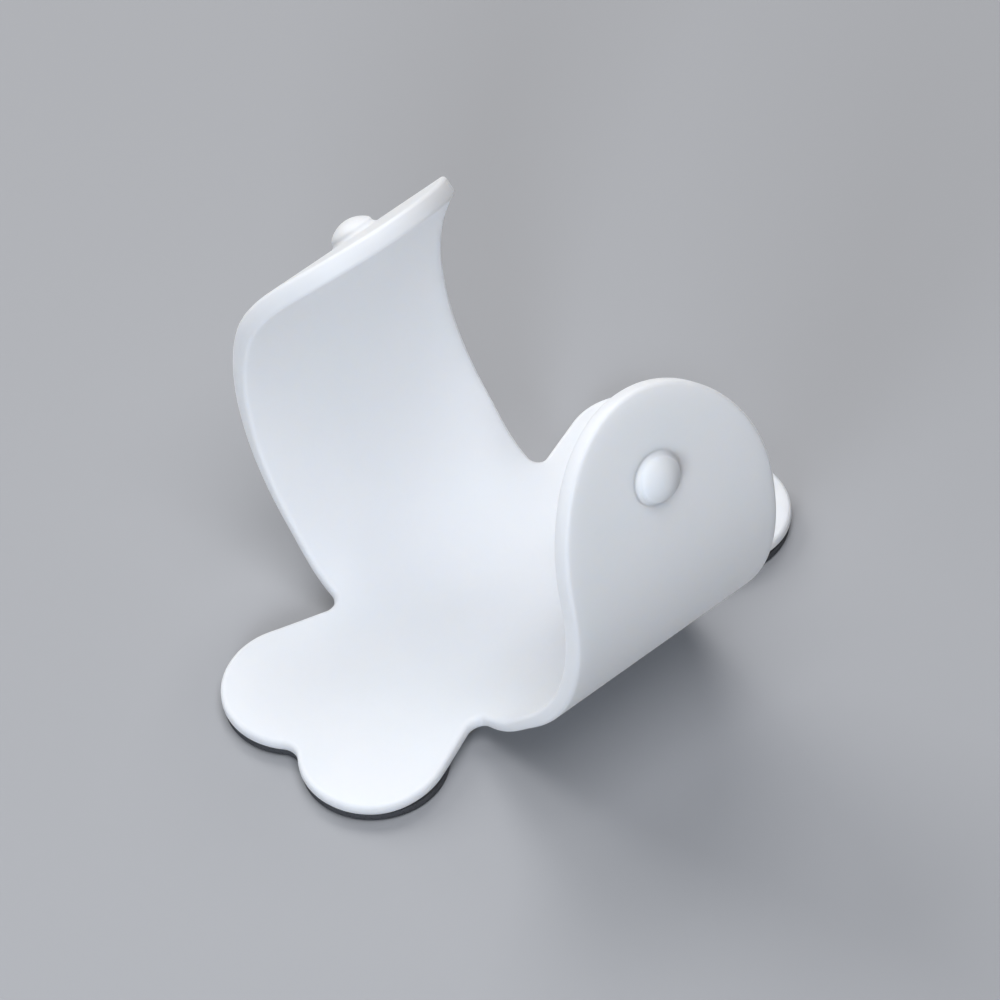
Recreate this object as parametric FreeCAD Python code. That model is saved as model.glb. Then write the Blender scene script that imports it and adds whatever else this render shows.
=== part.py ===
"""Flexible phone holder: a soft moulded sheet with two curled arms, stuck down by a die-cut pad.

The sheet is drawn flat, as an outline with two round-ended arms and a four-lobed base, and the
outline is then wrapped on the bent faces of the sheet. Origin: the middle of the pad's sticky
underside. X runs from arm to arm, Y from one pair of lobes to the other, Z points up.
"""
import FreeCAD, Part

import math
import os
from collections import namedtuple

# Sheet, in millimetres: its wall at the base and at the tips, and the round of its rim
wall_base = 1.0
wall_tip = 1.5
edge_round = 0.3

# Arms, with lengths along the sheet from the middle of the base, and turns in degrees
arm_length = 45.3
arm_width = 18.5
tip_round = 12.0

left_flat = 2.3
left_root_radius = 8.0
left_root_angle = 13.5
left_sweep_radius = 17.35
left_tip_run = 5.0
left_tip_angle = 0.0

right_flat = 2.6
right_root_radius = 11.2
right_root_angle = 20.2
right_sweep_radius = 19.3
right_tip_run = 12.0
right_tip_angle = 20.0

# Base with four lobes, two on each side of the arms
base_width = 19.1
lobe_reach = 12.3
lobe_radius = 5.4
lobe_notch_radius = 1.3
root_notch_radius = 0.9
flank_angle = 20.0
root_blend = 4.0

# Grip knob on the outer face of each arm
knob_to_tip = 6.7
knob_diameter = 3.3
knob_height = 1.2
knob_collar = 0.45
knob_foot_round = 0.3

# Adhesive pad under the base
pad_thickness = 0.6
pad_inset = 0.15
pad_waist = 4.6

# Counts of spans in the bent faces, along the arms and across them, and of bands in a rounded edge
STEPS_ALONG = 48
STEPS_ACROSS = 12
ROUND_STEPS = 2
DEGREE = 3
TOLERANCE = 1e-4
SEAM = 1e-2

Vector = FreeCAD.Vector
Point = FreeCAD.Base.Vector2d
UP = Vector(0, 0, 1)
EIGHTH_TURN = math.sqrt(0.5)

Arm = namedtuple("Arm", "side flat root_radius root_angle sweep_radius tip_run tip_angle")
LEFT_ARM = Arm(-1, left_flat, left_root_radius, left_root_angle, left_sweep_radius,
               left_tip_run, left_tip_angle)
RIGHT_ARM = Arm(1, right_flat, right_root_radius, right_root_angle, right_sweep_radius,
                right_tip_run, right_tip_angle)

half_arm = arm_width / 2
half_base = base_width / 2
tip_start = arm_length - tip_round
knob_distance = arm_length - knob_to_tip
rim_round = min(edge_round, 0.45 * wall_base, 0.45 * wall_tip)
lobe_centre = Point(half_base - lobe_radius, half_arm + lobe_reach - lobe_radius)


def bends(arm):
    """Length and curvature of each run of an arm, from the middle of the base past the tip."""
    root_angle = math.radians(arm.root_angle)
    root_run = arm.root_radius * root_angle
    sweep_run = arm_length - arm.flat - root_run - arm.tip_run
    tip_curvature = math.radians(arm.tip_angle) / arm.tip_run
    return (
        (arm.flat, 0.0),
        (root_run, 1 / arm.root_radius),
        (sweep_run, 1 / arm.sweep_radius),
        (math.inf, tip_curvature),
    )


def arm_section(arm, distance):
    """Reach, height and heading of an arm's outer face at a distance along it."""
    reach, height, heading = 0.0, 0.0, 0.0
    remaining = distance
    for run, curvature in bends(arm):
        step = min(remaining, run)
        turn = step * curvature
        chord = 2 * math.sin(turn / 2) / curvature if turn else step
        reach += chord * math.cos(heading + turn / 2)
        height += chord * math.sin(heading + turn / 2)
        heading += turn
        remaining -= step
    return reach, height, heading


def ease(value, start, end):
    """Smooth step from 0 at start to 1 at end."""
    share = min(max((value - start) / (end - start), 0.0), 1.0)
    return share * share * (3 - 2 * share)


def wall(distance):
    """Thickness of the sheet, which grows from the base to the round of the tip."""
    return wall_base + (wall_tip - wall_base) * ease(distance, half_base, tip_start)


def lobe_share(distance, across):
    """1 where the sheet lies flat as a lobe, 0 where it follows the bend of the arms."""
    beside_arm = ease(abs(across), half_arm - rim_round, half_arm + root_blend)
    past_base = ease(distance, half_base, half_base + root_blend)
    return beside_arm * (1 - past_base)


def sheet_point(along, across, depth, from_inside):
    """Point of the bent sheet from its place on the flat sheet and its depth under one face."""
    arm = RIGHT_ARM if along > 0 else LEFT_ARM
    distance = abs(along)
    reach, height, heading = arm_section(arm, distance)
    lift = wall(distance) - depth if from_inside else depth
    flat = lobe_share(distance, across)
    x = (reach - lift * math.sin(heading)) * (1 - flat) + distance * flat
    z = (height + lift * math.cos(heading)) * (1 - flat) + lift * flat
    return Vector(arm.side * x, across, pad_thickness + z)


def spline_places(half_span, spans):
    """Even knots over a span about zero, their counts, and the place of each control point."""
    knots = [half_span * (2 * index / spans - 1) for index in range(spans + 1)]
    counts = [DEGREE + 1] + [1] * (spans - 1) + [DEGREE + 1]
    padded = [knots[0]] * DEGREE + knots + [knots[-1]] * DEGREE
    places = [sum(padded[index + 1:index + 1 + DEGREE]) / DEGREE for index in range(spans + DEGREE)]
    return knots, counts, places


def sheet_surface(depth, from_inside):
    """Layer of the sheet under one face, with millimetres of the flat sheet as its parameters."""
    knots_u, counts_u, places_u = spline_places(arm_length + wall_tip, STEPS_ALONG)
    knots_v, counts_v, places_v = spline_places(half_arm + lobe_reach + wall_tip, STEPS_ACROSS)
    poles = [[sheet_point(along, across, depth, from_inside) for across in places_v]
             for along in places_u]
    surface = Part.BSplineSurface()
    surface.buildFromPolesMultsKnots(
        poles, counts_u, counts_v, knots_u, knots_v, False, False, DEGREE, DEGREE)
    return surface


def polar(centre, radius, angle):
    """Point of a circle at an angle."""
    return Point(centre.x + radius * math.cos(angle), centre.y + radius * math.sin(angle))


def arc(centre, radius, first, last):
    """Arc of a circle from one angle to another, as its start, middle and end."""
    return "arc", [polar(centre, radius, angle) for angle in (first, (first + last) / 2, last)]


def lobe_and_dip(inset, flank):
    """A lobe from the angle of its flank, and half of the notch between it and its twin."""
    radius = lobe_radius - inset
    dip_radius = lobe_notch_radius + inset
    crest = math.sqrt((radius + dip_radius) ** 2 - lobe_centre.x ** 2)
    dip = Point(0.0, lobe_centre.y + crest)
    meeting = math.atan2(crest, -lobe_centre.x)
    return [
        arc(lobe_centre, radius, flank, meeting),
        arc(dip, dip_radius, meeting - math.pi, -math.pi / 2),
    ]


def sheet_quarter(inset):
    """A quarter of the flat sheet's outline, from the tip of an arm to the notch between lobes.

    A quarter of an ellipse, the arm's straight side, the round notch at the arm's root, the
    straight flank that touches this notch and the lobe, then the lobe itself. The inset moves the
    whole outline inwards.
    """
    flank = -math.radians(flank_angle)
    notch_y = half_arm + root_notch_radius
    stand_off = lobe_radius + root_notch_radius - (notch_y - lobe_centre.y) * math.sin(flank)
    notch = Point(lobe_centre.x + stand_off / math.cos(flank), notch_y)
    notch_radius = root_notch_radius + inset
    tip = arm_length - inset
    side = half_arm - inset
    notch_end = polar(notch, notch_radius, flank + math.pi)
    return [
        ("ellipse", [Point(tip, 0), Point(tip, side), Point(tip_start, side)]),
        ("line", [Point(tip_start, side), Point(notch.x, side)]),
        arc(notch, notch_radius, 1.5 * math.pi, flank + math.pi),
        ("line", [notch_end, polar(lobe_centre, lobe_radius - inset, flank)]),
    ] + lobe_and_dip(inset, flank)


def pad_quarter():
    """A quarter of the pad's outline: half of a hollow waist that touches the lobe, and the lobe."""
    radius = lobe_radius - pad_inset
    offset = pad_waist / 2 - lobe_centre.x
    hollow = (offset ** 2 + lobe_centre.y ** 2 - radius ** 2) / (2 * (radius - offset))
    hollow_centre = Point(pad_waist / 2 + hollow, 0.0)
    flank = math.atan2(-lobe_centre.y, hollow_centre.x - lobe_centre.x)
    waist = arc(hollow_centre, hollow, math.pi, flank + math.pi)
    return [waist] + lobe_and_dip(pad_inset, flank)


def flat_curve(kind, points):
    """Curve of a flat outline: a line, an arc by three points or a quarter of an ellipse."""
    if kind == "line":
        return Part.Geom2d.Line2dSegment(*points)
    if kind == "arc":
        return Part.Geom2d.ArcOfCircle2d(*points)
    curve = Part.Geom2d.BezierCurve2d()
    curve.setPoles(points)
    curve.setWeight(2, EIGHTH_TURN)
    return curve


def whole_outline(quarter):
    """Curves of a whole outline in order, mirrored from a quarter that runs from X to Y."""
    curves = []
    for side_x, side_y in ((1, 1), (-1, 1), (-1, -1), (1, -1)):
        for kind, points in quarter if side_x == side_y else reversed(quarter):
            mirrored = [Point(side_x * point.x, side_y * point.y) for point in points]
            curves.append(flat_curve(kind, mirrored))
    return curves


def mended(shape):
    """The one solid of a shape, with its faces turned outwards."""
    shape.fix(TOLERANCE, TOLERANCE, TOLERANCE)
    return shape.Solids[0]


def wrapped_outline(turn, from_inside):
    """The outline where the rounded rim has turned by an angle out of one face of the sheet."""
    inset = rim_round * (1 - math.sin(turn))
    depth = rim_round * (1 - math.cos(turn))
    surface = sheet_surface(depth, from_inside)
    return [curve.toShape(surface) for curve in whole_outline(sheet_quarter(inset))]


def bent_sheet():
    """The sheet as a solid: the wrapped outer and inner faces, joined by bands around its rim."""
    turns = [math.pi / 2 * step / ROUND_STEPS for step in range(ROUND_STEPS + 1)]
    outer_lines = [wrapped_outline(turn, False) for turn in turns]
    inner_lines = [wrapped_outline(turn, True) for turn in reversed(turns)]
    lines = outer_lines + inner_lines
    faces = [Part.Face(Part.Wire(edges)) for edges in (lines[0], lines[-1])]
    for lower, upper in zip(lines, lines[1:]):
        faces += [Part.makeRuledSurface(*pair) for pair in zip(lower, upper)]
    skin = Part.Compound(faces)
    skin.sewShape(TOLERANCE)
    return mended(Part.Solid(skin.Shells[0]))


def knob(arm):
    """Knob with a collar and a dome, let into the outer face of an arm and turned about the normal."""
    reach, height, heading = arm_section(arm, knob_distance)
    radius = knob_diameter / 2
    seat = Vector(0, 0, -wall_tip / 2)
    seat_rim = Vector(radius, 0, seat.z)
    collar = Vector(radius, 0, knob_collar)
    crown = Vector(0, 0, knob_height)
    dome_height = knob_height - knob_collar
    dome_radius = (radius ** 2 + dome_height ** 2) / (2 * dome_height)
    half_turn = math.asin(radius / dome_radius) / 2
    shoulder = crown + Vector(math.sin(half_turn), 0, math.cos(half_turn) - 1) * dome_radius
    profile = Part.Wire([
        Part.LineSegment(seat, seat_rim).toShape(),
        Part.LineSegment(seat_rim, collar).toShape(),
        Part.Arc(collar, shoulder, crown).toShape(),
        Part.LineSegment(crown, seat).toShape(),
    ])
    dome = Part.Face(profile).revolve(Vector(), UP, 360)
    outwards = Vector(arm.side * math.sin(heading), 0, -math.cos(heading))
    place = Vector(arm.side * reach, 0, pad_thickness + height)
    dome.Placement = FreeCAD.Placement(place, FreeCAD.Rotation(UP, outwards))
    return dome


def at_foot(point, dome):
    """Whether a point lies on the line where the collar of a knob leaves the arm."""
    local = dome.Placement.inverse().multVec(point)
    off_collar = abs(math.hypot(local.x, local.y) - knob_diameter / 2)
    return off_collar < SEAM and local.z < knob_collar / 2


def foot_edges(body, dome):
    """Edges of the body around the foot of a knob."""
    edges = []
    for edge in body.Edges:
        if not edge.Degenerated:
            middle = edge.valueAt(sum(edge.ParameterRange) / 2)
            points = [vertex.Point for vertex in edge.Vertexes] + [middle]
            if all(at_foot(point, dome) for point in points):
                edges.append(edge)
    return edges


def silicone_body():
    """The moulded piece: the bent sheet with a knob on each arm, blended in at its foot."""
    knobs = [knob(arm) for arm in (LEFT_ARM, RIGHT_ARM)]
    body = bent_sheet().fuse(knobs)
    feet = [edge for dome in knobs for edge in foot_edges(body, dome)]
    return mended(body.makeFillet(knob_foot_round, feet))


def adhesive_pad():
    """Die-cut pad under the base, with a waist where the arms lift off."""
    outline = [curve.toShape() for curve in whole_outline(pad_quarter())]
    return Part.Face(Part.Wire(outline)).extrude(UP * pad_thickness)


os.makedirs("parts", exist_ok=True)
silicone_body().exportStep("parts/silicone_body.step")
adhesive_pad().exportStep("parts/adhesive_pad.step")
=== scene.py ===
"""Looks of a flexible silicone phone holder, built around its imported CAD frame.

Every piece is worked out in millimetres of the CAD's own frame and stored in metres. The moulded
silicone sheet is drawn flat, wrapped on the same control net as the CAD solid and given a rounded
rim. The grip knobs and the adhesive pad are profiles carried around closed paths.
"""
import logging
import math
from dataclasses import dataclass, field
from enum import Enum

import bpy
import numpy as np
from mathutils import Matrix, Vector


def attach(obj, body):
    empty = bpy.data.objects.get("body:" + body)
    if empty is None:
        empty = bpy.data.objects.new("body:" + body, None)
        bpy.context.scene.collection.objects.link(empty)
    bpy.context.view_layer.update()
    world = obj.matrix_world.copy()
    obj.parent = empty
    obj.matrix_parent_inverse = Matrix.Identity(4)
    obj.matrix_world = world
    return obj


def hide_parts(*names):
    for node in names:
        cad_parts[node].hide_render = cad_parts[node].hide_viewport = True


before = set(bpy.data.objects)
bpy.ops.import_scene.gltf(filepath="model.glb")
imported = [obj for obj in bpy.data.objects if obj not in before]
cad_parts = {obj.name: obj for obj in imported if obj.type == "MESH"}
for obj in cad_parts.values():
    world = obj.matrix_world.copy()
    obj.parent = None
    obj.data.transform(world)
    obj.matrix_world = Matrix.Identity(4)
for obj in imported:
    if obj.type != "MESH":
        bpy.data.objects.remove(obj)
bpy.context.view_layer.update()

Colour = tuple[float, float, float, float]
Place = tuple[float, float, float]

LOG = logging.getLogger("phone_holder")
MM = 0.001
ROOT = "root"

# Points that agree to this step, in millimetres, are one point
MERGE_STEP = 1e-4

# Width of the square, in millimetres, on which the flat patterns of the sheet and the pad lie
PATTERN_SPAN = 100.0

# Sizes, in millimetres, that the sheet shares with its arms and with the pad
ARM_LENGTH = 45.3
PAD_THICKNESS = 0.6

# Mean of a noise, and weight of the mould's slow wave over the fine grain
NOISE_MEAN = 0.5
WAVE_WEIGHT = 2.5

# Signs along and across the arms that make the whole of a quarter
MIRRORS = ((1.0, 1.0), (1.0, -1.0), (-1.0, 1.0), (-1.0, -1.0))

# Colour sockets of the Mix node, which shares its socket names with other kinds of value
MIX_FIRST, MIX_SECOND, MIX_RESULT = 6, 7, 2


class Side(Enum):
    """Side of the base on which an arm stands."""

    LEFT = -1
    RIGHT = 1


class Slot(Enum):
    """Material slot of the record from which a piece takes its finish."""

    SILICONE = "silicone"
    ADHESIVE = "adhesive"


def ease(value: np.ndarray, start: float, end: float) -> np.ndarray:
    """Smooth step: three times the square of the share less twice its cube.

    Args:
        value: Values to ease.
        start: Value where the step is 0.
        end: Value where the step is 1.

    Returns:
        Steps from 0 to 1.
    """
    share = np.clip((value - start) / (end - start), 0.0, 1.0)
    return share * share * (3.0 - 2.0 * share)


def arc_points(
        centre: np.ndarray, radius: float, first: float, last: float, count: int) -> np.ndarray:
    """Points of a circle: its centre plus the radius times the cosine and sine of even angles.

    Args:
        centre: Centre of the circle.
        radius: Radius.
        first: Angle of the first point, in radians.
        last: Angle of the last point.
        count: Number of steps.

    Returns:
        Points as rows, both ends included.
    """
    angle = np.linspace(first, last, count + 1)
    return centre + radius * np.stack((np.cos(angle), np.sin(angle)), axis=1)


def line_points(start: np.ndarray, end: np.ndarray, count: int) -> np.ndarray:
    """Points of a straight line at even shares of its run, both ends included.

    Args:
        start: First point.
        end: Last point.
        count: Number of steps.

    Returns:
        Points as rows.
    """
    share = np.linspace(0.0, 1.0, count + 1)[:, None]
    return start + (end - start) * share


def join_curves(curves: list[np.ndarray]) -> np.ndarray:
    """Joins curves end to end and leaves out each repeated first point."""
    return np.concatenate([curves[0]] + [curve[1:] for curve in curves[1:]])


def spline_basis(
        values: np.ndarray, half_span: float, spans: int) -> tuple[np.ndarray, np.ndarray]:
    """Cubic basis values on even knots with clamped ends, by the recursion of lower degrees.

    Args:
        values: Parameters between minus and plus the half span.
        half_span: Half of the knots' span.
        spans: Number of spans.

    Returns:
        Basis values with a row for each parameter, and the place of each control point.
    """
    ends = np.full(3, half_span)
    knots = np.concatenate((-ends, np.linspace(-half_span, half_span, spans + 1), ends))
    value = values[:, None]
    basis = ((value >= knots[:-1]) & (value < knots[1:])).astype(float)
    for degree in (1, 2, 3):
        low, high = knots[:-degree - 1], knots[degree + 1:]
        rise = knots[degree:-1] - low
        fall = high - knots[1:-degree]
        up = (value - low) / np.where(rise > 0.0, rise, 1.0) * (rise > 0.0)
        down = (high - value) / np.where(fall > 0.0, fall, 1.0) * (fall > 0.0)
        basis = up * basis[:, :-1] + down * basis[:, 1:]
    places = (knots[1:-3] + knots[2:-2] + knots[3:-1]) / 3.0
    return basis, places


@dataclass(frozen=True)
class ArmBend:
    """Bend of one arm as runs of even curvature, in millimetres and degrees."""

    side: Side
    flat: float
    root_radius: float
    root_angle: float
    sweep_radius: float
    tip_run: float
    tip_angle: float
    length: float

    def section(self, distance: np.ndarray) -> tuple[np.ndarray, np.ndarray, np.ndarray]:
        """Arm's outer face at distances along it.

        Each run adds a chord: twice the sine of half its turn over its curvature, laid along the
        heading at the middle of the run. A straight run adds its own length.

        Args:
            distance: Distances along the sheet from the middle of the base.

        Returns:
            Reach to the side, height over the base and heading in radians.
        """
        root_angle = math.radians(self.root_angle)
        root_run = self.root_radius * root_angle
        sweep_run = self.length - self.flat - root_run - self.tip_run
        runs = (
            (self.flat, 0.0),
            (root_run, 1.0 / self.root_radius),
            (sweep_run, 1.0 / self.sweep_radius),
            (math.inf, math.radians(self.tip_angle) / self.tip_run),
        )
        reach, height, heading = (np.zeros_like(distance) for _ in range(3))
        remaining = distance.copy()
        for run, curvature in runs:
            step = np.minimum(remaining, run)
            turn = step * curvature
            chord = 2.0 * np.sin(turn / 2.0) / curvature if curvature else step
            reach = reach + chord * np.cos(heading + turn / 2.0)
            height = height + chord * np.sin(heading + turn / 2.0)
            heading = heading + turn
            remaining = remaining - step
        return reach, height, heading


@dataclass(frozen=True)
class FlatLobes:
    """Lobed ends of the base on the flat sheet, in millimetres."""

    centre: tuple[float, float] = (4.15, 16.15)
    radius: float = 5.4
    notch_radius: float = 1.3

    def crown(self, inset: float, flank: float, counts: tuple[int, int]) -> list[np.ndarray]:
        """A lobe's round end and half of the notch between it and its twin, as two touching arcs.

        Args:
            inset: Distance by which the outline lies inside the lobe.
            flank: Angle at which the round end starts, in radians.
            counts: Steps on the round end and in the notch.

        Returns:
            Points of both arcs.
        """
        centre = np.array(self.centre)
        radius, dip_radius = self.radius - inset, self.notch_radius + inset
        rise = math.sqrt((radius + dip_radius) ** 2 - centre[0] ** 2)
        meeting = math.atan2(rise, -centre[0])
        dip = np.array((0.0, centre[1] + rise))
        return [
            arc_points(centre, radius, flank, meeting, counts[0]),
            arc_points(dip, dip_radius, meeting - math.pi, -math.pi / 2.0, counts[1]),
        ]


@dataclass(frozen=True)
class SheetForm:
    """Form of the moulded sheet: its flat outline, its wall and the bend of its arms."""

    wall_base: float = 1.0
    wall_tip: float = 1.5
    rim_round: float = 0.3
    arm_length: float = ARM_LENGTH
    half_arm: float = 9.25
    half_base: float = 9.55
    tip_round: float = 12.0
    lobe_reach: float = 12.3
    root_notch_radius: float = 0.9
    flank_angle: float = 20.0
    root_blend: float = 4.0
    pad_thickness: float = PAD_THICKNESS
    lobes: FlatLobes = FlatLobes()
    spans: tuple[int, int] = (48, 12)
    left: ArmBend = ArmBend(
        Side.LEFT, flat=2.3, root_radius=8.0, root_angle=13.5, sweep_radius=17.35,
        tip_run=5.0, tip_angle=0.0, length=ARM_LENGTH)
    right: ArmBend = ArmBend(
        Side.RIGHT, flat=2.6, root_radius=11.2, root_angle=20.2, sweep_radius=19.3,
        tip_run=12.0, tip_angle=20.0, length=ARM_LENGTH)

    def wall(self, distance: np.ndarray) -> np.ndarray:
        """Thickness of the sheet, which eases from the base's wall to the tip's."""
        growth = ease(distance, self.half_base, self.arm_length - self.tip_round)
        return self.wall_base + (self.wall_tip - self.wall_base) * growth

    def quarter(self, inset: float, counts: tuple[int, ...]) -> list[np.ndarray]:
        """A quarter of the flat outline, from an arm's tip to the notch between two lobes.

        The curves are a quarter of an ellipse, the arm's straight side, the round notch at the
        arm's root, the straight flank of the lobe, the lobe's round end and half of its notch.

        Args:
            inset: Distance by which the outline is moved inwards.
            counts: Steps on each of the six curves.

        Returns:
            Points of each curve, both ends included.
        """
        flank = -math.radians(self.flank_angle)
        centre = np.array(self.lobes.centre)
        radius, notch_radius = self.lobes.radius - inset, self.root_notch_radius + inset
        notch_y = self.half_arm + self.root_notch_radius
        touch = self.lobes.radius + self.root_notch_radius
        stand_off = touch - (notch_y - centre[1]) * math.sin(flank)
        notch = np.array((centre[0] + stand_off / math.cos(flank), notch_y))
        tip_start = self.arm_length - self.tip_round
        side = self.half_arm - inset
        turn = np.linspace(0.0, math.pi / 2.0, counts[0] + 1)
        ellipse = np.stack(
            (tip_start + (self.tip_round - inset) * np.cos(turn), side * np.sin(turn)), axis=1)
        outwards = np.array((math.cos(flank), math.sin(flank)))
        return [
            ellipse,
            line_points(ellipse[-1], np.array((notch[0], side)), counts[1]),
            arc_points(notch, notch_radius, 1.5 * math.pi, flank + math.pi, counts[2]),
            line_points(notch - notch_radius * outwards, centre + radius * outwards, counts[3]),
        ] + self.lobes.crown(inset, flank, counts[4:])

    def place(self, along: np.ndarray, across: np.ndarray, lift: np.ndarray) -> np.ndarray:
        """Point of the bent sheet over a place of the flat sheet.

        The arm's section gives the outer face, the lift runs along its normal, and beside the
        arms the point eases to the flat lobes.

        Args:
            along: Places along the arms, with the sign of the side.
            across: Places across the arms.
            lift: Shares of the wall, from 0 on the outer face to 1 on the inner face.

        Returns:
            Points with X, Y and Z on the last axis.
        """
        distance = np.abs(along)
        raised = self.wall(distance) * lift
        beside = ease(
            np.abs(across), self.half_arm - self.rim_round, self.half_arm + self.root_blend)
        flat = beside * (1.0 - ease(distance, self.half_base, self.half_base + self.root_blend))
        bent = []
        for arm in (self.left, self.right):
            reach, height, heading = arm.section(distance)
            x = (reach - raised * np.sin(heading)) * (1.0 - flat) + distance * flat
            z = (height + raised * np.cos(heading)) * (1.0 - flat) + raised * flat
            bent.append((arm.side.value * x, z))
        on_right = along > 0.0
        x = np.where(on_right, bent[1][0], bent[0][0])
        z = np.where(on_right, bent[1][1], bent[0][1])
        return np.stack((x, across, self.pad_thickness + z), axis=-1)

    def wrap(self, along: np.ndarray, across: np.ndarray, lift: np.ndarray) -> np.ndarray:
        """The smooth sheet: a cubic spline whose control net lies on the bent sheet.

        A point is the sum of the control points, each times its basis value along and its basis
        value across, on the outer and the inner net, mixed by the lift.

        Args:
            along: Places along the arms.
            across: Places across the arms.
            lift: Shares of the wall from the outer to the inner face.

        Returns:
            Points as rows.
        """
        half_u = self.arm_length + self.wall_tip
        half_v = self.half_arm + self.lobe_reach + self.wall_tip
        basis_u, places_u = spline_basis(along, half_u, self.spans[0])
        basis_v, places_v = spline_basis(across, half_v, self.spans[1])
        grid_u, grid_v = np.meshgrid(places_u, places_v, indexing="ij")
        faces = []
        for level in (0.0, 1.0):
            net = self.place(grid_u, grid_v, np.full_like(grid_u, level))
            rows = basis_u @ net.reshape(len(places_u), -1)
            rows = rows.reshape(len(along), len(places_v), 3)
            faces.append(np.einsum("kj,kjc->kc", basis_v, rows))
        return faces[0] + (faces[1] - faces[0]) * lift[:, None]


@dataclass
class Patch:
    """A closed skin gathered from grids of points, whose common points are merged."""

    points: list[np.ndarray] = field(default_factory=list)
    quads: list[np.ndarray] = field(default_factory=list)
    marks: list[np.ndarray] = field(default_factory=list)
    flats: list[np.ndarray] = field(default_factory=list)
    total: int = 0

    def add(
            self, grid: np.ndarray, mark: np.ndarray, flat: np.ndarray, flip: bool,
            closed: bool = False) -> None:
        """Adds a grid of points with a face between each four neighbours.

        Args:
            grid: Points in millimetres, as rows and columns.
            mark: Mask of the rim at each point.
            flat: Place of each point on the piece's flat pattern.
            flip: Whether the faces turn the other way.
            closed: Whether the last row joins the first.
        """
        rows, columns = grid.shape[:2]
        index = self.total + np.arange(rows * columns).reshape(rows, columns)
        if closed:
            index = np.concatenate((index, index[:1]))
        corners = (index[:-1, :-1], index[1:, :-1], index[1:, 1:], index[:-1, 1:])
        quads = np.stack(corners, axis=-1).reshape(-1, 4)
        self.points.append(grid.reshape(-1, 3))
        self.quads.append(quads[:, ::-1] if flip else quads)
        self.marks.append(mark.reshape(-1))
        self.flats.append(flat.reshape(-1, 2))
        self.total += rows * columns

    def to_object(self, name: str) -> bpy.types.Object:
        """Makes the mesh: merges equal points, drops repeated corners and turns the faces outwards.

        The faces point outwards when the products of each triangle's first corner with the cross
        product of its other two add up to more than nothing.

        Args:
            name: Name of the piece.

        Returns:
            The new object, at the origin, with a rim attribute and a flat UV map.
        """
        points = np.concatenate(self.points)
        quads = np.concatenate(self.quads)
        keys = np.round(points / MERGE_STEP).astype(np.int64)
        _, first, merged = np.unique(keys, axis=0, return_index=True, return_inverse=True)
        points, quads = points[first], merged.reshape(-1)[quads]
        repeated = quads == np.roll(quads, -1, axis=1)
        full = ~repeated.any(axis=1)
        fans = quads[repeated.sum(axis=1) == 1]
        fan_keep = ~(fans == np.roll(fans, -1, axis=1))
        triangles = fans[fan_keep].reshape(-1, 3)
        quads = quads[full]
        corners = points[np.concatenate((quads[:, :3], quads[:, (0, 2, 3)], triangles))]
        volume = np.einsum("ij,ij->i", corners[:, 0], np.cross(corners[:, 1], corners[:, 2])).sum()
        if volume < 0.0:
            quads, triangles = quads[:, ::-1], triangles[:, ::-1]
        mesh = bpy.data.meshes.new(name)
        loops = np.concatenate((quads.reshape(-1), triangles.reshape(-1))).astype(np.int32)
        sizes = np.concatenate((np.full(len(quads), 4), np.full(len(triangles), 3)))
        starts = np.concatenate(([0], np.cumsum(sizes)[:-1])).astype(np.int32)
        mesh.vertices.add(len(points))
        mesh.vertices.foreach_set("co", (points * MM).astype(np.float32).ravel())
        mesh.loops.add(len(loops))
        mesh.loops.foreach_set("vertex_index", loops)
        mesh.polygons.add(len(sizes))
        mesh.polygons.foreach_set("loop_start", starts)
        mesh.polygons.foreach_set("use_smooth", np.ones(len(sizes), dtype=bool))
        mesh.update(calc_edges=True)
        mesh.validate()
        rim = mesh.attributes.new("rim", "FLOAT", "POINT")
        rim.data.foreach_set("value", np.concatenate(self.marks)[first].astype(np.float32))
        layer = mesh.uv_layers.new(name="flat")
        pattern = np.concatenate(self.flats)[first][loops]
        layer.data.foreach_set("uv", pattern.astype(np.float32).ravel())
        piece = bpy.data.objects.new(name, mesh)
        bpy.context.scene.collection.objects.link(piece)
        return piece


class NodeBench:
    """Small helper that adds and links the nodes of one node tree."""

    def __init__(self, tree: bpy.types.NodeTree) -> None:
        """Keeps the tree on which the nodes are made."""
        self.tree = tree

    def add(self, kind: str, **values: object) -> bpy.types.Node:
        """Adds a node and sets its properties and unlinked inputs.

        Args:
            kind: Type name of the node.
            values: Properties by name, or inputs by name with spaces as underscores.

        Returns:
            The new node.
        """
        node = self.tree.nodes.new(kind)
        for name, value in values.items():
            if hasattr(node, name):
                setattr(node, name, value)
            else:
                node.inputs[name.replace("_", " ")].default_value = value
        return node

    def link(self, source: bpy.types.NodeSocket, target: bpy.types.NodeSocket) -> None:
        """Links an output to an input."""
        self.tree.links.new(source, target)

    def mix(self, mask: bpy.types.NodeSocket, second: Colour) -> bpy.types.Node:
        """Adds a mix of two colours, with the mask as its share and its second colour set."""
        node = self.add("ShaderNodeMix", data_type="RGBA")
        node.inputs[MIX_SECOND].default_value = second
        self.link(mask, node.inputs["Factor"])
        return node


def new_material(name: str) -> tuple[bpy.types.Material, NodeBench, bpy.types.Node]:
    """Starts a material.

    Args:
        name: Name of the material.

    Returns:
        The material, a bench on its tree and its Principled shader.
    """
    made = bpy.data.materials.new(name)
    made.use_nodes = True
    return made, NodeBench(made.node_tree), made.node_tree.nodes["Principled BSDF"]


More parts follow.
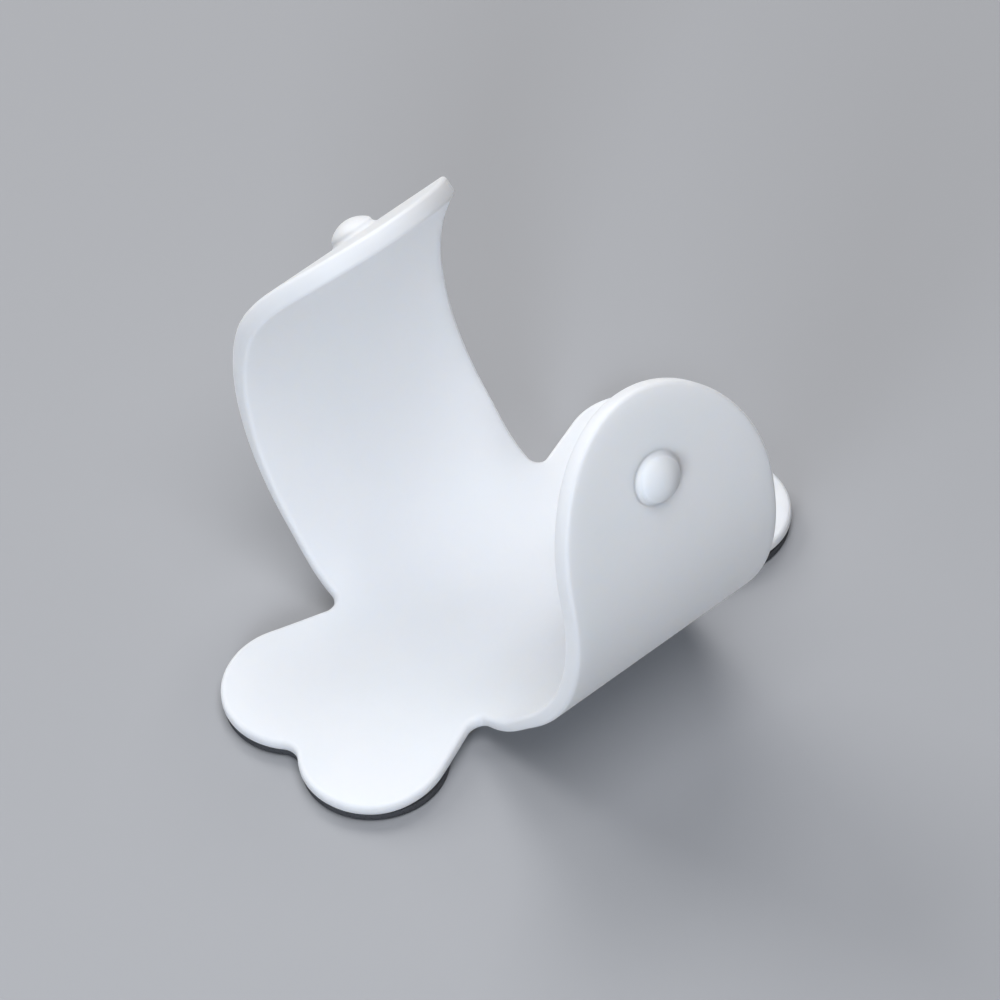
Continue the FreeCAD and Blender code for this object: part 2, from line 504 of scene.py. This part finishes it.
def new_group(
        name: str, inputs: dict[str, float],
        outputs: tuple[str, ...]) -> tuple[NodeBench, bpy.types.Node, bpy.types.Node]:
    """Starts a shader node group with a vector input, number inputs and number outputs.

    Args:
        name: Name of the group.
        inputs: Number inputs with their usual values.
        outputs: Names of the outputs.

    Returns:
        Bench on the group's tree, its input node and its output node.
    """
    tree = bpy.data.node_groups.new(name, "ShaderNodeTree")
    tree.interface.new_socket("Vector", in_out="INPUT", socket_type="NodeSocketVector")
    for label, value in inputs.items():
        socket = tree.interface.new_socket(label, in_out="INPUT", socket_type="NodeSocketFloat")
        socket.default_value = value
    for label in outputs:
        tree.interface.new_socket(label, in_out="OUTPUT", socket_type="NodeSocketFloat")
    bench = NodeBench(tree)
    return bench, bench.add("NodeGroupInput"), bench.add("NodeGroupOutput")


def moulded_grain_group() -> bpy.types.NodeTree:
    """Fine skin of a moulded piece: a close grain over a slow unevenness of the mould.

    The height is the grain plus the weighted wave. The roughness is its middle value plus the
    spread times the wave's distance from the mean of a noise.

    Returns:
        Group with a height for a bump and a roughness around a middle value.
    """
    bench, source, target = new_group(
        "moulded_grain",
        {"Grain Scale": 2600.0, "Wave Scale": 160.0, "Roughness": 0.45, "Spread": 0.08},
        ("Height", "Roughness"),
    )
    grain = bench.add("ShaderNodeTexNoise", Detail=3.0, Roughness=0.6)
    wave = bench.add("ShaderNodeTexNoise", Detail=2.0, Roughness=0.5)
    for noise, scale in ((grain, "Grain Scale"), (wave, "Wave Scale")):
        bench.link(source.outputs["Vector"], noise.inputs["Vector"])
        bench.link(source.outputs[scale], noise.inputs["Scale"])
    lift = bench.add("ShaderNodeMath", operation="MULTIPLY_ADD")
    lift.inputs[1].default_value = WAVE_WEIGHT
    bench.link(wave.outputs["Fac"], lift.inputs[0])
    bench.link(grain.outputs["Fac"], lift.inputs[2])
    centre = bench.add("ShaderNodeMath", operation="SUBTRACT")
    centre.inputs[1].default_value = NOISE_MEAN
    bench.link(wave.outputs["Fac"], centre.inputs[0])
    rough = bench.add("ShaderNodeMath", operation="MULTIPLY_ADD", use_clamp=True)
    bench.link(centre.outputs[0], rough.inputs[0])
    bench.link(source.outputs["Spread"], rough.inputs[1])
    bench.link(source.outputs["Roughness"], rough.inputs[2])
    bench.link(lift.outputs[0], target.inputs["Height"])
    bench.link(rough.outputs[0], target.inputs["Roughness"])
    return bench.tree


def soft_cloud_group() -> bpy.types.NodeTree:
    """Slow clouds for a colour that is nowhere quite even, and a few fine specks, which the foam
    uses for the painted shade in its pores.

    The cloud is a noise spread by a smooth step. A speck falls smoothly from 1 at the middle of
    each cell to 0 at the speck share of the cell's size.

    Returns:
        Group with a cloud mask and a speck mask, each from 0 to 1.
    """
    bench, source, target = new_group(
        "soft_cloud",
        {"Cloud Scale": 70.0, "Speck Scale": 900.0, "Speck Share": 0.2},
        ("Cloud", "Speck"),
    )
    cloud = bench.add("ShaderNodeTexNoise", Detail=4.0, Roughness=0.55, Distortion=0.4)
    speck = bench.add("ShaderNodeTexVoronoi", feature="F1")
    for texture, scale in ((cloud, "Cloud Scale"), (speck, "Speck Scale")):
        bench.link(source.outputs["Vector"], texture.inputs["Vector"])
        bench.link(source.outputs[scale], texture.inputs["Scale"])
    spread = bench.add(
        "ShaderNodeMapRange", interpolation_type="SMOOTHSTEP", From_Min=0.3, From_Max=0.7)
    bench.link(cloud.outputs["Fac"], spread.inputs["Value"])
    dots = bench.add(
        "ShaderNodeMapRange", interpolation_type="SMOOTHSTEP",
        From_Min=0.0, To_Min=1.0, To_Max=0.0)
    bench.link(speck.outputs["Distance"], dots.inputs["Value"])
    bench.link(source.outputs["Speck Share"], dots.inputs["From Max"])
    bench.link(spread.outputs["Result"], target.inputs["Cloud"])
    bench.link(dots.outputs["Result"], target.inputs["Speck"])
    return bench.tree


@dataclass(frozen=True)
class SiliconeFinish:
    """Cool white moulded silicone: satin, slightly milky, with a fine grain and rims painted paler,
    a painted glow of light through the thin edge.

    The milk depth and the grain depth are in metres, and the scales are counts to the metre.
    """

    name: str = "white_silicone"
    body_colour: Colour = (0.925, 0.943, 0.978, 1.0)
    cloud_colour: Colour = (0.905, 0.926, 0.967, 1.0)
    painted_rim_glow_colour: Colour = (0.945, 0.958, 0.982, 1.0)
    roughness: float = 0.46
    refraction: float = 1.41
    milk_depth: float = 0.0012
    milk_share: tuple[float, float, float] = (1.0, 0.95, 0.88)
    bloom: float = 0.06
    bloom_roughness: float = 0.5
    cloud_scale: float = 90.0
    grain_strength: float = 0.06
    grain_depth: float = 0.00006

    def material(self, grain: bpy.types.NodeTree, cloud: bpy.types.NodeTree) -> bpy.types.Material:
        """Builds the material.

        Args:
            grain: Group of the moulded grain.
            cloud: Group of the soft clouds.

        Returns:
            The silicone's material.
        """
        made, bench, shader = new_material(self.name)
        shader.inputs["Subsurface Weight"].default_value = 1.0
        shader.inputs["Subsurface Radius"].default_value = self.milk_share
        shader.inputs["Subsurface Scale"].default_value = self.milk_depth
        shader.inputs["IOR"].default_value = self.refraction
        shader.inputs["Sheen Weight"].default_value = self.bloom
        shader.inputs["Sheen Roughness"].default_value = self.bloom_roughness
        places = bench.add("ShaderNodeTexCoord")
        clouds = bench.add("ShaderNodeGroup", node_tree=cloud)
        clouds.inputs["Cloud Scale"].default_value = self.cloud_scale
        skin = bench.add("ShaderNodeGroup", node_tree=grain)
        skin.inputs["Roughness"].default_value = self.roughness
        for group in (clouds, skin):
            bench.link(places.outputs["Object"], group.inputs["Vector"])
        tint = bench.mix(clouds.outputs["Cloud"], self.cloud_colour)
        tint.inputs[MIX_FIRST].default_value = self.body_colour
        # The rim mask paints the rim paler: a painted glow of light through the thin edge.
        rim = bench.add("ShaderNodeAttribute", attribute_name="rim")
        pale = bench.mix(rim.outputs["Fac"], self.painted_rim_glow_colour)
        bench.link(tint.outputs[MIX_RESULT], pale.inputs[MIX_FIRST])
        bump = bench.add(
            "ShaderNodeBump", Strength=self.grain_strength, Distance=self.grain_depth)
        bench.link(skin.outputs["Height"], bump.inputs["Height"])
        bench.link(pale.outputs[MIX_RESULT], shader.inputs["Base Color"])
        bench.link(skin.outputs["Roughness"], shader.inputs["Roughness"])
        bench.link(bump.outputs["Normal"], shader.inputs["Normal"])
        return made


@dataclass(frozen=True)
class AdhesiveFinish:
    """Dark grey adhesive foam: matte, with open pores along its cut edge, darkened with painted
    shade.

    The pore depth is in metres, and the scales are counts to the metre.
    """

    name: str = "dark_adhesive_foam"
    foam_colour: Colour = (0.040, 0.041, 0.045, 1.0)
    pore_shade_colour: Colour = (0.014, 0.014, 0.016, 1.0)
    cut_colour: Colour = (0.065, 0.066, 0.072, 1.0)
    roughness: float = 0.72
    pore_scale: float = 5200.0
    pore_share: float = 0.42
    pore_strength: float = 0.35
    pore_depth: float = 0.00008

    def material(self, grain: bpy.types.NodeTree, cloud: bpy.types.NodeTree) -> bpy.types.Material:
        """Builds the material.

        Args:
            grain: Group of the moulded grain.
            cloud: Group of the soft clouds and specks.

        Returns:
            The adhesive's material.
        """
        made, bench, shader = new_material(self.name)
        places = bench.add("ShaderNodeTexCoord")
        pores = bench.add("ShaderNodeGroup", node_tree=cloud)
        pores.inputs["Speck Scale"].default_value = self.pore_scale
        pores.inputs["Speck Share"].default_value = self.pore_share
        skin = bench.add("ShaderNodeGroup", node_tree=grain)
        skin.inputs["Roughness"].default_value = self.roughness
        for group in (pores, skin):
            bench.link(places.outputs["Object"], group.inputs["Vector"])
        rim = bench.add("ShaderNodeAttribute", attribute_name="rim")
        cut = bench.mix(rim.outputs["Fac"], self.cut_colour)
        cut.inputs[MIX_FIRST].default_value = self.foam_colour
        # The pores are painted darker: painted shade in the pits, which the bump also sinks.
        dark = bench.mix(pores.outputs["Speck"], self.pore_shade_colour)
        bench.link(cut.outputs[MIX_RESULT], dark.inputs[MIX_FIRST])
        bump = bench.add(
            "ShaderNodeBump", Strength=self.pore_strength, Distance=self.pore_depth, invert=True)
        bench.link(pores.outputs["Speck"], bump.inputs["Height"])
        bench.link(dark.outputs[MIX_RESULT], shader.inputs["Base Color"])
        bench.link(skin.outputs["Roughness"], shader.inputs["Roughness"])
        bench.link(bump.outputs["Normal"], shader.inputs["Normal"])
        return made


SHEET_SILICONE = SiliconeFinish()

# The knobs are too small for the sheet's milkiness, which would darken their feet
KNOB_SILICONE = SiliconeFinish(name="knob_silicone", milk_depth=0.00015)

PAD_FOAM = AdhesiveFinish()


def settle(piece: bpy.types.Object, finish: bpy.types.Material, node: str) -> None:
    """Gives a piece its material and ties it to the frame in place of a CAD node.

    Args:
        piece: Piece to settle.
        finish: Its material.
        node: CAD node for which it stands.
    """
    piece.data.materials.append(finish)
    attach(piece, ROOT)
    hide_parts(node)


@dataclass
class SiliconeSheet:
    """The moulded sheet with its curled arms and its lobed base."""

    form: SheetForm
    finish: bpy.types.Material
    counts: tuple[int, ...] = (52, 64, 18, 14, 52, 8)
    face_rows: int = 22
    round_rows: int = 6
    row_crowding: float = 1.35
    painted_glow_fade: float = 0.6
    pattern_middles: tuple[float, float] = (0.25, 0.75)
    spine_arm: tuple[float, ...] = (39.0, 29.0, 3.0, 0.0)
    spine_lobe: tuple[float, ...] = (0.0, 1.8, 6.5, 15.2, 17.0)

    def spine(self, curves: list[np.ndarray]) -> np.ndarray:
        """Place on the arm's or the lobe's middle line for each point of a quarter outline.

        The run along the outline is mapped piece by piece to the middle lines, which meet at the
        middle of the base opposite the middle of the root's notch. The last place repeats the one
        before it, because the outline ends in line with it.

        Args:
            curves: Curves of the quarter outline.

        Returns:
            Places on the flat sheet, one for each point of the outline.
        """
        outline = join_curves(curves)
        steps = np.linalg.norm(np.diff(outline, axis=0), axis=1)
        run = np.concatenate(([0.0], np.cumsum(steps)))
        ends = run[np.cumsum([len(curve) - 1 for curve in curves])]
        notch_middle = (ends[1] + ends[2]) / 2.0
        arm = np.interp(run, (0.0, ends[0], ends[1], notch_middle), self.spine_arm)
        lobe = np.interp(run, (notch_middle, *ends[2:]), self.spine_lobe)
        spine = np.stack((arm, lobe), axis=1)
        spine[-1] = spine[-2]
        return spine

    def section(self) -> tuple[np.ndarray, np.ndarray, np.ndarray, np.ndarray]:
        """Section of the sheet from the inner face's middle line round the rim to the outer face's.

        The rim is a quarter round, a straight wall and a quarter round. Depths run from the
        nearer face, as the radius less the radius times a cosine.

        Returns:
            Share of the way to the middle line, inset from the outline, depth under the nearer
            face, and whether that face is the outer one.
        """
        way = np.linspace(1.0, 0.0, self.face_rows + 1)[:-1] ** self.row_crowding
        turn = np.linspace(0.0, math.pi / 2.0, self.round_rows + 1)
        radius = self.form.rim_round
        inset = np.concatenate((np.full(len(way), radius), radius * (1.0 - np.sin(turn))))
        depth = np.concatenate((np.zeros(len(way)), radius * (1.0 - np.cos(turn))))
        share = np.concatenate((way, np.zeros(len(turn))))
        outer = np.repeat((False, True), len(share))
        there_and_back = (np.concatenate((part, part[::-1])) for part in (share, inset, depth))
        return *there_and_back, outer

    def build(self) -> bpy.types.Object:
        """Builds the sheet from four mirrored quarters, each a grid of outline by section.

        A place on the flat sheet lies between the rim and the middle line by the section's share.
        The form wraps it, at a lift that is the section's depth over the wall.

        Returns:
            The sheet's object.
        """
        share, inset, depth, outer = self.section()
        edge = self.form.quarter(0.0, self.counts)
        inner = self.form.quarter(self.form.rim_round, self.counts)
        outline, inset_line, middle = join_curves(edge), join_curves(inner), self.spine(edge)
        inset_share = inset / self.form.rim_round
        rim_place = outline[:, None] + (inset_line - outline)[:, None] * inset_share[:, None]
        flat = rim_place + (middle[:, None] - rim_place) * share[:, None]
        rows = flat.shape[:2]
        # Mask of the rim's painted glow: full on the edge, fading over the round.
        mark = np.broadcast_to((share == 0.0) * (1.0 - self.painted_glow_fade * inset_share), rows)
        shift = np.where(outer, self.pattern_middles[1], self.pattern_middles[0])
        patch = Patch()
        for mirror in MIRRORS:
            place = flat * np.array(mirror)
            along, across = place[..., 0], place[..., 1]
            depth_share = depth / self.form.wall(np.abs(along))
            lift = np.where(outer, depth_share, 1.0 - depth_share)
            points = self.form.wrap(along.ravel(), across.ravel(), lift.ravel())
            pattern = np.stack((shift + across / PATTERN_SPAN, 0.5 + along / PATTERN_SPAN), axis=-1)
            patch.add(points.reshape(*rows, 3), mark, pattern, math.prod(mirror) < 0.0)
        return patch.to_object("silicone_sheet")

    def dress(self, piece: bpy.types.Object) -> None:
        """Gives the sheet its silicone and its place in the frame."""
        settle(piece, self.finish, "silicone_body")


@dataclass
class GripKnob:
    """Small domed knob on the outer face of an arm, with a flared foot."""

    form: SheetForm
    finish: bpy.types.Material
    arm: ArmBend
    to_tip: float = 6.7
    radius: float = 1.65
    height: float = 1.2
    collar: float = 0.45
    cap_share: float = 0.6
    foot: float = 0.34
    foot_spread: float = 1.5
    foot_sink: float = 0.03
    seat_depth: float = 0.5
    rows: tuple[int, int, int] = (16, 13, 11)
    turns: int = 72
    pattern_span: float = 10.0

    def profile(self) -> np.ndarray:
        """Radius and height of the knob from its crown down to its seat.

        A shallow round cap, a shoulder that eases from the cap's slope into the upright collar on a
        quadratic curve, a hollow quarter round that runs out on the arm just under its face, and a
        flat seat inside the arm's wall.

        Returns:
            Points as rows of radius and height.
        """
        rise = self.height - self.collar
        cap_radius = (self.radius ** 2 + rise ** 2) / (2.0 * rise)
        slope = math.asin(self.radius / cap_radius) * self.cap_share
        angle = np.linspace(0.0, slope, self.rows[0])
        drop = cap_radius * (1.0 - np.cos(angle))
        cap = np.stack((cap_radius * np.sin(angle), self.height - drop), axis=1)
        start, end = cap[-1], np.array((self.radius, self.foot))
        corner_height = start[1] - (self.radius - start[0]) * math.tan(slope)
        corner = np.array((self.radius, corner_height))
        share = np.linspace(0.0, 1.0, self.rows[1])[1:, None]
        left = 1.0 - share
        bend = start * left ** 2 + 2.0 * corner * share * left + end * share ** 2
        turn = np.linspace(0.0, math.pi / 2.0, self.rows[2])[1:, None]
        hollow = 1.0 - np.concatenate((np.cos(turn), np.sin(turn)), axis=1)
        flare = np.array((self.radius, 0.0)) + self.foot * hollow
        edge = self.radius + self.foot * self.foot_spread
        seat = np.array((
            (edge, -self.foot_sink), (edge, -self.seat_depth), (0.0, -self.seat_depth)))
        return np.concatenate((cap, bend, flare, seat))

    def build(self) -> bpy.types.Object:
        """Builds the knob by turning its profile and laying it on the arm's outer face.

        A point is the place of the outer face at its radius and angle, plus its height along the
        face's outward normal at the knob's middle.

        Returns:
            The knob's object.
        """
        profile = self.profile()
        angle = np.linspace(0.0, 2.0 * math.pi, self.turns, endpoint=False)
        distance = self.form.arm_length - self.to_tip
        ring = np.stack((np.cos(angle), np.sin(angle)), axis=1)
        around = ring[:, None] * profile[None, :, :1]
        side = self.arm.side.value
        along = side * (distance + around[..., 0])
        face = self.form.wrap(along.ravel(), around[..., 1].ravel(), np.zeros(along.size))
        heading = self.arm.section(np.array([distance]))[2][0]
        normal = np.array((side * math.sin(heading), 0.0, -math.cos(heading)))
        points = face.reshape(*along.shape, 3) + profile[None, :, 1:] * normal
        pattern = 0.5 + around / self.pattern_span
        patch = Patch()
        patch.add(points, np.zeros(along.shape), pattern, False, closed=True)
        return patch.to_object(f"grip_knob_{self.arm.side.name.lower()}")

    def dress(self, piece: bpy.types.Object) -> None:
        """Gives the knob its silicone and its place in the frame."""
        settle(piece, self.finish, "silicone_body")


@dataclass
class AdhesivePad:
    """Thin die-cut pad under the base, with a waist where the arms lift off."""

    finish: bpy.types.Material
    lobes: FlatLobes = FlatLobes()
    thickness: float = PAD_THICKNESS
    inset: float = 0.15
    waist: float = 4.6
    edge: float = 0.06
    middle_reach: float = 17.2
    counts: tuple[int, ...] = (64, 56, 8)
    face_rows: int = 10

    def quarter(self, inset: float) -> np.ndarray:
        """A quarter of the pad's outline: half of a hollow waist, and the lobe that it touches.

        The waist's radius follows from its touching the lobe's circle from outside.

        Args:
            inset: Distance by which the outline lies inside the sheet's lobes.

        Returns:
            Points as rows, from the waist to the notch between the lobes.
        """
        centre = np.array(self.lobes.centre)
        radius = self.lobes.radius - self.inset
        offset = self.waist / 2.0 - centre[0]
        hollow = (offset ** 2 + centre[1] ** 2 - radius ** 2) / (2.0 * (radius - offset))
        hollow_centre = np.array((self.waist / 2.0 + hollow, 0.0))
        flank = math.atan2(-centre[1], hollow_centre[0] - centre[0])
        waist = arc_points(
            hollow_centre, hollow + inset - self.inset, math.pi, flank + math.pi, self.counts[0])
        return join_curves([waist] + self.lobes.crown(inset, flank, self.counts[1:]))

    def build(self) -> bpy.types.Object:
        """Builds the pad as a grid of its outline by its section, closed on its middle line.

        A face is the outline, pulled in by the edge's round, drawn to the middle line by even
        shares. The last place on that line repeats the one before it, because the outline ends in
        line with it.

        Returns:
            The pad's object.
        """
        outline = self.quarter(self.inset)
        pulled = self.quarter(self.inset + self.edge)
        reach = np.linspace(0.0, self.middle_reach, len(outline))
        middle = np.stack((np.zeros(len(outline)), reach), axis=1)
        middle[-1] = middle[-2]
        levels = self.face_rows + 1
        way = np.linspace(1.0, 0.0, levels)[:, None, None]
        face = pulled + (middle - pulled) * way
        flat = np.concatenate((face, outline[None], outline[None], face[::-1])).transpose(1, 0, 2)
        walls = (self.thickness - self.edge, self.edge)
        heights = np.concatenate((np.full(levels, self.thickness), walls, np.zeros(levels)))
        rows = flat.shape[:2]
        rim = np.zeros(rows)
        rim[:, levels:levels + len(walls)] = 1.0
        patch = Patch()
        for mirror in MIRRORS:
            place = flat * np.array(mirror)
            lifted = np.broadcast_to(heights[None, :, None], (*rows, 1))
            points = np.concatenate((place, lifted), axis=2)
            patch.add(points, rim, 0.5 + place / PATTERN_SPAN, math.prod(mirror) < 0.0)
        return patch.to_object("die_cut_pad")

    def dress(self, piece: bpy.types.Object) -> None:
        """Gives the pad its foam and its place in the frame."""
        settle(piece, self.finish, "adhesive_pad")


@dataclass(frozen=True)
class SoftLamp:
    """Square soft lamp that faces the holder, in metres and watts."""

    name: str
    place: Place
    size: float
    power: float
    colour: tuple[float, float, float]
    aim: Place = (0.0, 0.0, 0.015)

    def hang(self) -> None:
        """Hangs the lamp at its place and turns it to its aim."""
        data = bpy.data.lights.new(self.name, "AREA")
        data.shape = "SQUARE"
        data.size, data.energy, data.color = self.size, self.power, self.colour
        light = bpy.data.objects.new(self.name, data)
        light.location = self.place
        light.rotation_mode = "QUATERNION"
        towards = Vector(self.aim) - Vector(self.place)
        light.rotation_quaternion = towards.to_track_quat("-Z", "Y")
        bpy.context.scene.collection.objects.link(light)


@dataclass
class Studio:
    """Plain floor, four soft lamps, a faint cool sky and the camera, in metres and degrees."""

    eye: Place = (0.35592, -0.27888, 0.50776)
    aim: Place = (0.0008, -0.0006, 0.0128)
    roll: float = -4.65
    lens: float = 345.0
    sensor: float = 36.0
    clip: tuple[float, float] = (0.01, 20.0)
    floor_half: float = 3.0
    floor_gap: float = 0.0001
    floor_colour: Colour = (0.412, 0.411, 0.418, 1.0)
    floor_roughness: float = 0.6
    floor_gloss: float = 0.2
    sky_colour: Colour = (0.80, 0.88, 1.0, 1.0)
    sky_strength: float = 0.02
    lamps: tuple[SoftLamp, ...] = (
        SoftLamp("key_lamp", (-0.5, 0.0, 0.4), 0.4, 1.92, (0.969, 0.984, 1.0)),
        SoftLamp("back_left_soft", (-0.27, 0.3, 0.6), 0.3, 1.44, (0.967, 0.975, 1.0)),
        SoftLamp("overhead_soft", (0.2, -0.06, 0.72), 0.42, 2.69, (0.925, 0.948, 1.0)),
        SoftLamp("low_front_fill", (0.14, -0.22, 0.11), 0.09, 0.37, (0.813, 0.892, 1.0)),
    )

    def camera(self) -> None:
        """Sets the camera at its eye point, turned to the aim and rolled about its own axis."""
        data = bpy.data.cameras.new("camera")
        data.lens = self.lens
        data.sensor_width = self.sensor
        data.clip_start, data.clip_end = self.clip
        viewer = bpy.data.objects.new("camera", data)
        eye, aim = Vector(self.eye), Vector(self.aim)
        turn = (aim - eye).to_track_quat("-Z", "Y").to_matrix()
        rolled = turn @ Matrix.Rotation(math.radians(self.roll), 3, "Z")
        viewer.rotation_mode = "QUATERNION"
        viewer.location = eye
        viewer.rotation_quaternion = rolled.to_quaternion()
        bpy.context.scene.collection.objects.link(viewer)
        bpy.context.scene.camera = viewer

    def floor(self) -> None:
        """Lays the plain floor just under the pad."""
        mesh = bpy.data.meshes.new("floor")
        half, level = self.floor_half, -self.floor_gap
        signs = ((-1, -1), (1, -1), (1, 1), (-1, 1))
        mesh.from_pydata([(x * half, y * half, level) for x, y in signs], [], [(0, 1, 2, 3)])
        ground = bpy.data.objects.new("floor", mesh)
        bpy.context.scene.collection.objects.link(ground)
        made, _, shader = new_material("pale_floor")
        shader.inputs["Base Color"].default_value = self.floor_colour
        shader.inputs["Roughness"].default_value = self.floor_roughness
        shader.inputs["Specular IOR Level"].default_value = self.floor_gloss
        mesh.materials.append(made)

    def sky(self) -> None:
        """Fills the shade with a faint, cool and even sky."""
        world = bpy.data.worlds.new("studio_sky")
        world.use_nodes = True
        background = world.node_tree.nodes["Background"]
        background.inputs["Color"].default_value = self.sky_colour
        background.inputs["Strength"].default_value = self.sky_strength
        bpy.context.scene.world = world

    def build(self) -> None:
        """Sets up the camera, the floor and the light."""
        bpy.context.scene.view_settings.view_transform = "Standard"
        self.camera()
        self.floor()
        self.sky()
        for lamp in self.lamps:
            lamp.hang()


def main() -> None:
    """Builds the pieces in order, dresses them and sets the studio."""
    logging.basicConfig(level=logging.INFO, format="%(name)s: %(message)s")
    groups = moulded_grain_group(), soft_cloud_group()
    form = SheetForm()
    knob_silicone = KNOB_SILICONE.material(*groups)
    makers = [
        SiliconeSheet(form, SHEET_SILICONE.material(*groups)),
        GripKnob(form, knob_silicone, form.left),
        GripKnob(form, knob_silicone, form.right),
        AdhesivePad(PAD_FOAM.material(*groups)),
    ]
    for maker in makers:
        piece = maker.build()
        maker.dress(piece)
        mesh = piece.data
        LOG.info("%s: %d points, %d faces", piece.name, len(mesh.vertices), len(mesh.polygons))
    Studio().build()


if __name__ == "__main__":
    main()
